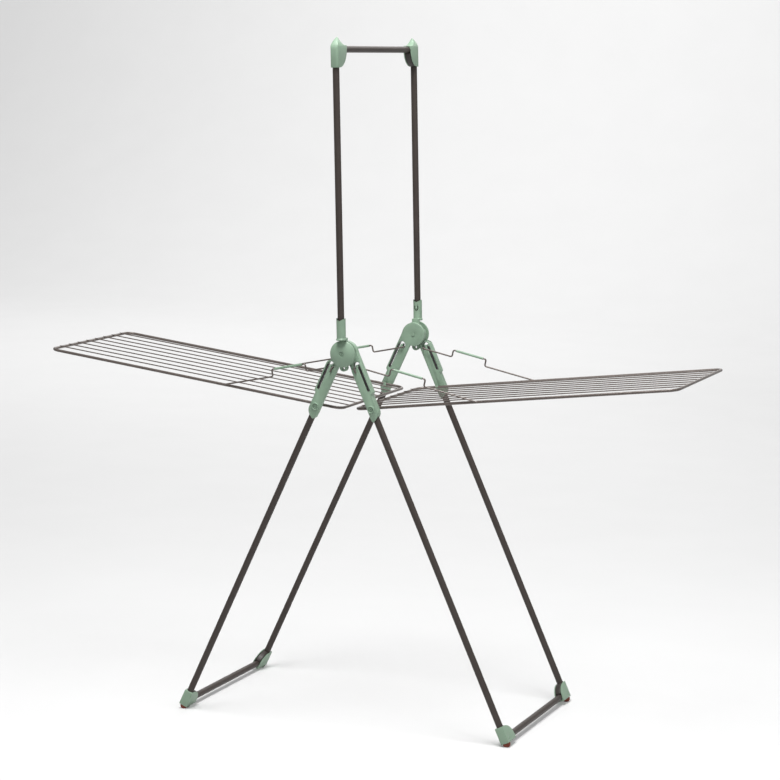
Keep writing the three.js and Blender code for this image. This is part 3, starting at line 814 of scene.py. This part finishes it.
# ---- hub and hanging rail ----
# Rail frame: origin on the hub axis, Z up along the posts.
def post_holder(out):
    """A round plate between the discs with a lug below and a notched socket above."""
    y0 = out * HOLDER_IN_W
    y1 = out * HOLDER_OUT_W
    post = out * POST_W
    neck_top = COLLAR_BOTTOM + COLLAR_HEIGHT
    lug = [(LUG_HALF_WIDTH, 0), (-LUG_HALF_WIDTH, 0)]
    lug += arc(0, LUG_HALF_WIDTH - LUG_REACH, LUG_HALF_WIDTH, 180, 360, 24)
    notch = [(-2 * SOCKET_RADIUS, SOCKET_TOP + RIM_NOTCH), (0, SOCKET_TOP - RIM_NOTCH)]
    notch += [(2 * SOCKET_RADIUS, SOCKET_TOP + RIM_NOTCH)]
    collar = [(0, 0), (COLLAR_RADIUS - 1, 0), (COLLAR_RADIUS, 1), (COLLAR_RADIUS, COLLAR_HEIGHT - 2)]
    collar += [(SOCKET_RADIUS, COLLAR_HEIGHT), (0, COLLAR_HEIGHT)]
    past = (2 * y0 - y1, 2 * y1 - y0)
    return carved(
        [
            rod_across(HOLDER_RADIUS, y0, y1, 0, 0, EDGE_SIDES),
            prism(lug, min(y0, y1), max(y0, y1)),
            box(-NECK_HALF_WIDTH, NECK_HALF_WIDTH, y0, y1, 0, neck_top),
            rod((0, post, COLLAR_BOTTOM + 1), (0, post, SOCKET_TOP), SOCKET_RADIUS, EDGE_SIDES),
            lathe(collar, (0, post, COLLAR_BOTTOM), sides=EDGE_SIDES),
        ],
        [
            rod_across(HUB_PIN_RADIUS + GAP, *past, 0, 0),
            rod_across(LUG_HOLE_RADIUS, *past, 0, -LUG_HOLE_REACH),
            rod((0, post, SOCKET_SEAT), (0, post, SOCKET_TOP + 2 * RIM_NOTCH), TUBE_CLEAR, EDGE_SIDES),
            prism(notch, post - 2 * SOCKET_RADIUS, post + 2 * SOCKET_RADIUS),
            tab_groove(out),
        ],
        edge=0.6,
    )


def tab_groove(out):
    """The U-shaped slit around the spring tab."""
    centre = SOCKET_TOP - BUTTON_DROP - 2
    top = SOCKET_TOP - BUTTON_DROP + GROOVE_ARM
    points = arc(0, centre, GROOVE_OUTER, 180, 360, 16) + [(GROOVE_OUTER, top), (GROOVE_INNER, top)]
    points += arc(0, centre, GROOVE_INNER, 360, 180, 16) + [(-GROOVE_INNER, top), (-GROOVE_OUTER, top)]
    return prism(points, *sorted((0, out * POST_W)))


def snap_button(out):
    """The domed tip of the spring tab."""
    base = POST_W - BUTTON_RADIUS
    height = base - (POST_W - SOCKET_RADIUS - BUTTON_PROUD)
    profile = [(0, 0), (BUTTON_RADIUS, 0), (BUTTON_RADIUS, height - 1), (BUTTON_RADIUS - 0.8, height - 0.2)]
    profile += [(BUTTON_RADIUS / 2, height), (0, height)]
    return smooth(lathe(profile, (0, out * base, SOCKET_TOP - BUTTON_DROP), (0, -out, 0)))


# ---- assembly ----
def build_side(side, turn, names, shapes):
    """One leg frame with its wing and stays. names are those of the outer and the inner end."""
    half = Matrix.Rotation(turn, 4, "Z")
    pivot = half @ Matrix.Translation((-PIVOT_X, 0, PIVOT_Z))
    leg = pivot @ Matrix.Rotation(LEG_ANGLE, 4, "Y")
    wing = pivot @ Matrix.Rotation(WING_TILT, 4, "Y")
    stays = wing @ Matrix.Translation((-STAY_REACH, 0, 0)) @ Matrix.Rotation(-STAY_ANGLE, 4, "Y")
    body = f"{side}_frame"
    wing_body = f"{side}_wing_body"

    for name, out, leg_w in ((names[0], -1, OUTER_LEG_W), (names[1], 1, INNER_LEG_W)):
        at = f"{side}_{name}"
        tube = smooth(pipe((0, out * leg_w, ELBOW_START - PIVOT_TO_BAR), (0, out * leg_w, TUBE_INSERTION)))
        corner = leg @ corner_frame((0, out * leg_w, -PIVOT_TO_BAR), (0, -out, 0), (0, 0, 1))
        stay_body = f"{at}_stay_body"
        place(f"{at}_leg_tube", tube, leg, "painted_tube", body, f"{at}_leg")
        place(f"{at}_arm", shapes["bracket", out], leg, "green_plastic", body, f"{at}_bracket")
        # a dark sheet inside the slot: painted shade
        place(f"{at}_slot_painted_shade", shapes["slot_shade", out], leg, "dark_plastic", body)
        place(f"{at}_rivet", shapes["rivet", out], leg, "green_plastic", body, f"{at}_wing_rivet")
        place(f"{at}_cap", shapes["foot_cap", out], corner, "green_plastic", body, f"{at}_foot_cap")
        place(f"{at}_elbow", shapes["foot_elbow"], corner, "dark_plastic", body, f"{at}_foot_elbow")
        place(f"{at}_pad", shapes["pad", out], corner, "rubber", body, f"{at}_foot_pad")
        place(f"{at}_stay_wire", shapes["stay", out], stays, "coated_wire", stay_body, f"{at}_stay")
        place(f"{at}_sleeve", shapes["sleeve", out], stays, "green_plastic", stay_body, f"{at}_stay_sleeve")
        place(f"{at}_rail_plugs", shapes["plugs", out], wing, "dark_plastic", wing_body)
    bar = smooth(
        pipe((0, ELBOW_START - OUTER_LEG_W, -PIVOT_TO_BAR), (0, INNER_LEG_W - ELBOW_START, -PIVOT_TO_BAR))
    )
    place(f"{side}_bar_tube", bar, leg, "painted_tube", body, f"{side}_floor_bar")
    place(f"{side}_wing_wires", shapes["wing"], wing, "coated_wire", wing_body, f"{side}_wing")


def rail_plugs(out, rail_w):
    """Small dark plugs in the rail: one beside the pivot and one past the stay's joint."""
    profile = [(0, 0), (1.9, 0), (1.9, 1.2), (1.2, 1.7), (0, 1.8)]
    origin = out * (rail_w + RAIL_RADIUS - 1)
    plug_places = (PLUG_INNER, -STAY_REACH - PLUG_PAST_STAY)
    plugs = [lathe(profile, (x, origin, 0), (0, out, 0), WIRE_SIDES) for x in plug_places]
    return smooth(*plugs)


def shared_shapes():
    """Meshes used on both sides, keyed by name, or by name and end: -1 is the outer end, 1 the inner."""
    leg_turn = Matrix.Rotation(LEG_ANGLE, 3, "Y")
    stay_turn = Matrix.Rotation(WING_TILT - STAY_ANGLE, 3, "Y")
    tail = stay_turn.inverted() @ leg_turn @ Vector((0, 0, -1))
    shapes = {
        "foot_elbow": elbow(FOOT_REACH),
        "wing": wing_mesh(-OUTER_RAIL_W, INNER_RAIL_W),
        ("bracket", -1): outer_bracket(-1),
        ("bracket", 1): inner_bracket(1),
        ("slot_shade", -1): slot_painted_shade(-1, OUTER_LEG_W),
        ("slot_shade", 1): slot_painted_shade(1, INNER_LEG_W),
    }
    for out, leg_w, rail_w in ((-1, OUTER_LEG_W, OUTER_RAIL_W), (1, INNER_LEG_W, INNER_RAIL_W)):
        seat = leg_w + ARM_HALF_DEPTH + 0.4
        shapes["foot_cap", out] = foot_cap(out)
        shapes["rivet", out] = tubular_rivet(out, rail_w - RAIL_RADIUS - GAP, seat, RIVET_RADIUS, RIVET_HEAD)
        shapes["pad", out] = foot_pad(Vector((0, -out * math.sin(LEG_ANGLE), math.cos(LEG_ANGLE))))
        shapes["stay", out] = stay_mesh(out, rail_w, leg_w, tail)
        shapes["sleeve", out] = sleeve_mesh(out, rail_w)
        shapes["plugs", out] = rail_plugs(out, rail_w)
    return shapes


def build_hanging_rail():
    hub = Matrix.Translation((0, 0, HUB_Z))
    rail = hub @ Matrix.Rotation(RAIL_LEAN, 4, "Y")
    cap = top_cap()
    filling = elbow(CAP_REACH)
    body = "hanging_rail"
    for end, out in (("near", -1), ("far", 1)):
        y = out * POST_W
        corner = rail @ corner_frame((0, y, RAIL_RISE), (0, -out, 0), (0, 0, -1))
        post = smooth(pipe((0, y, SOCKET_SEAT + GAP), (0, y, RAIL_RISE - ELBOW_START)))
        seat = OUTER_DISC_W + OUTER_DISC_DEPTH + DOME_RISE - HUB_RECESS_DEPTH + 0.2
        pin = tubular_rivet(out, INNER_DISC_W - INNER_DISC_DEPTH - GAP, seat, HUB_PIN_RADIUS, PIN_HEAD)
        place(f"{end}_holder", post_holder(out), rail, "green_plastic", body, f"{end}_post_holder")
        place(f"{end}_post_tube", post, rail, "painted_tube", body, f"{end}_post")
        place(f"{end}_cap", cap, corner, "green_plastic", body, f"{end}_top_cap")
        place(f"{end}_elbow", filling, corner, "dark_plastic", body, f"{end}_top_elbow")
        place(f"{end}_pin", pin, hub, "green_plastic", "left_frame", f"{end}_hub_pin")
        button_body = f"{end}_button_body"
        place(f"{end}_button", snap_button(out), rail, "green_plastic", button_body, f"{end}_snap_button")
    bar = smooth(pipe((0, ELBOW_START - POST_W, RAIL_RISE), (0, POST_W - ELBOW_START, RAIL_RISE)))
    place("top_bar", bar, rail, "painted_tube", body, "crossbar")


# ---- studio ----
def build_floor():
    """A pale floor that curves up into a backdrop far behind the rack."""
    reach, bend, height = 9.0, 4.0, 12.0
    profile = [(-40.0, 0.0), (reach, 0.0)]
    for i in range(1, 13):
        angle = math.pi / 2 * i / 12
        profile.append((reach + bend * math.sin(angle), bend * (1 - math.cos(angle))))
    profile.append((reach + bend, height))
    shape = bmesh.new()
    rows = [[shape.verts.new((x, y, z)) for x in (-40.0, 40.0)] for y, z in profile]
    for low, high in zip(rows, rows[1:]):
        shape.faces.new((low[0], low[1], high[1], high[0]))
    floor = as_object(shape)
    floor.name = "studio_floor"
    floor.data.shade_smooth()
    floor.data.materials.append(floor_paint())


def area_light(name, position, target, size, power):
    light = bpy.data.lights.new(name, "AREA")
    light.size = size
    light.energy = power
    lamp = bpy.data.objects.new(name, light)
    bpy.context.scene.collection.objects.link(lamp)
    lamp.location = position
    lamp.rotation_euler = (Vector(target) - Vector(position)).to_track_quat("-Z", "Y").to_euler()


def build_lights():
    world = bpy.data.worlds.new("studio")
    world.use_nodes = True
    world.node_tree.nodes["Background"].inputs["Color"].default_value = (1, 1, 1, 1)
    world.node_tree.nodes["Background"].inputs["Strength"].default_value = 0.3
    bpy.context.scene.world = world
    area_light("key", (0.3, -1.2, 5.0), (0, 0, 0.9), 2.2, 310)
    area_light("fill", (1.5, -6.0, 2.0), (0, 0, 0.9), 3.0, 14)
    area_light("side", (4.5, -0.8, 4.0), (0, 0, 0.6), 2.0, 60)
    area_light("back", (-0.5, 4.5, 4.0), (0, 0, 0.9), 3.0, 50)
    area_light("backdrop", (-3.0, 6.5, 7.5), (-6.0, 12.0, 1.5), 5.0, 700)
    bpy.context.scene.view_settings.view_transform = "Standard"


def build_camera():
    """A long lens at the height of the top rail, looking slightly down."""
    yaw, pitch, roll = 0.3856, 0.1388, 0.0129
    position = (2.6081, -6.3560, 1.8629)
    forward = Vector((-math.sin(yaw) * math.cos(pitch), math.cos(yaw) * math.cos(pitch), -math.sin(pitch)))
    right = Vector((math.cos(yaw), math.sin(yaw), 0))
    up = right.cross(forward)
    turned_right = right * math.cos(roll) + up * math.sin(roll)
    turned_up = up * math.cos(roll) - right * math.sin(roll)
    camera = bpy.data.objects.new("camera", bpy.data.cameras.new("camera"))
    bpy.context.scene.collection.objects.link(camera)
    camera.data.sensor_width = 36
    camera.data.lens = 114.63
    camera.data.clip_end = 200
    turn = Matrix((turned_right, turned_up, -forward)).transposed().to_4x4()
    camera.matrix_world = Matrix.Translation(position) @ turn
    bpy.context.scene.camera = camera


build_camera()
build_lights()
build_floor()
shapes = shared_shapes()
build_side("left", 0, ("near", "far"), shapes)
build_side("right", math.pi, ("far", "near"), shapes)
build_hanging_rail()
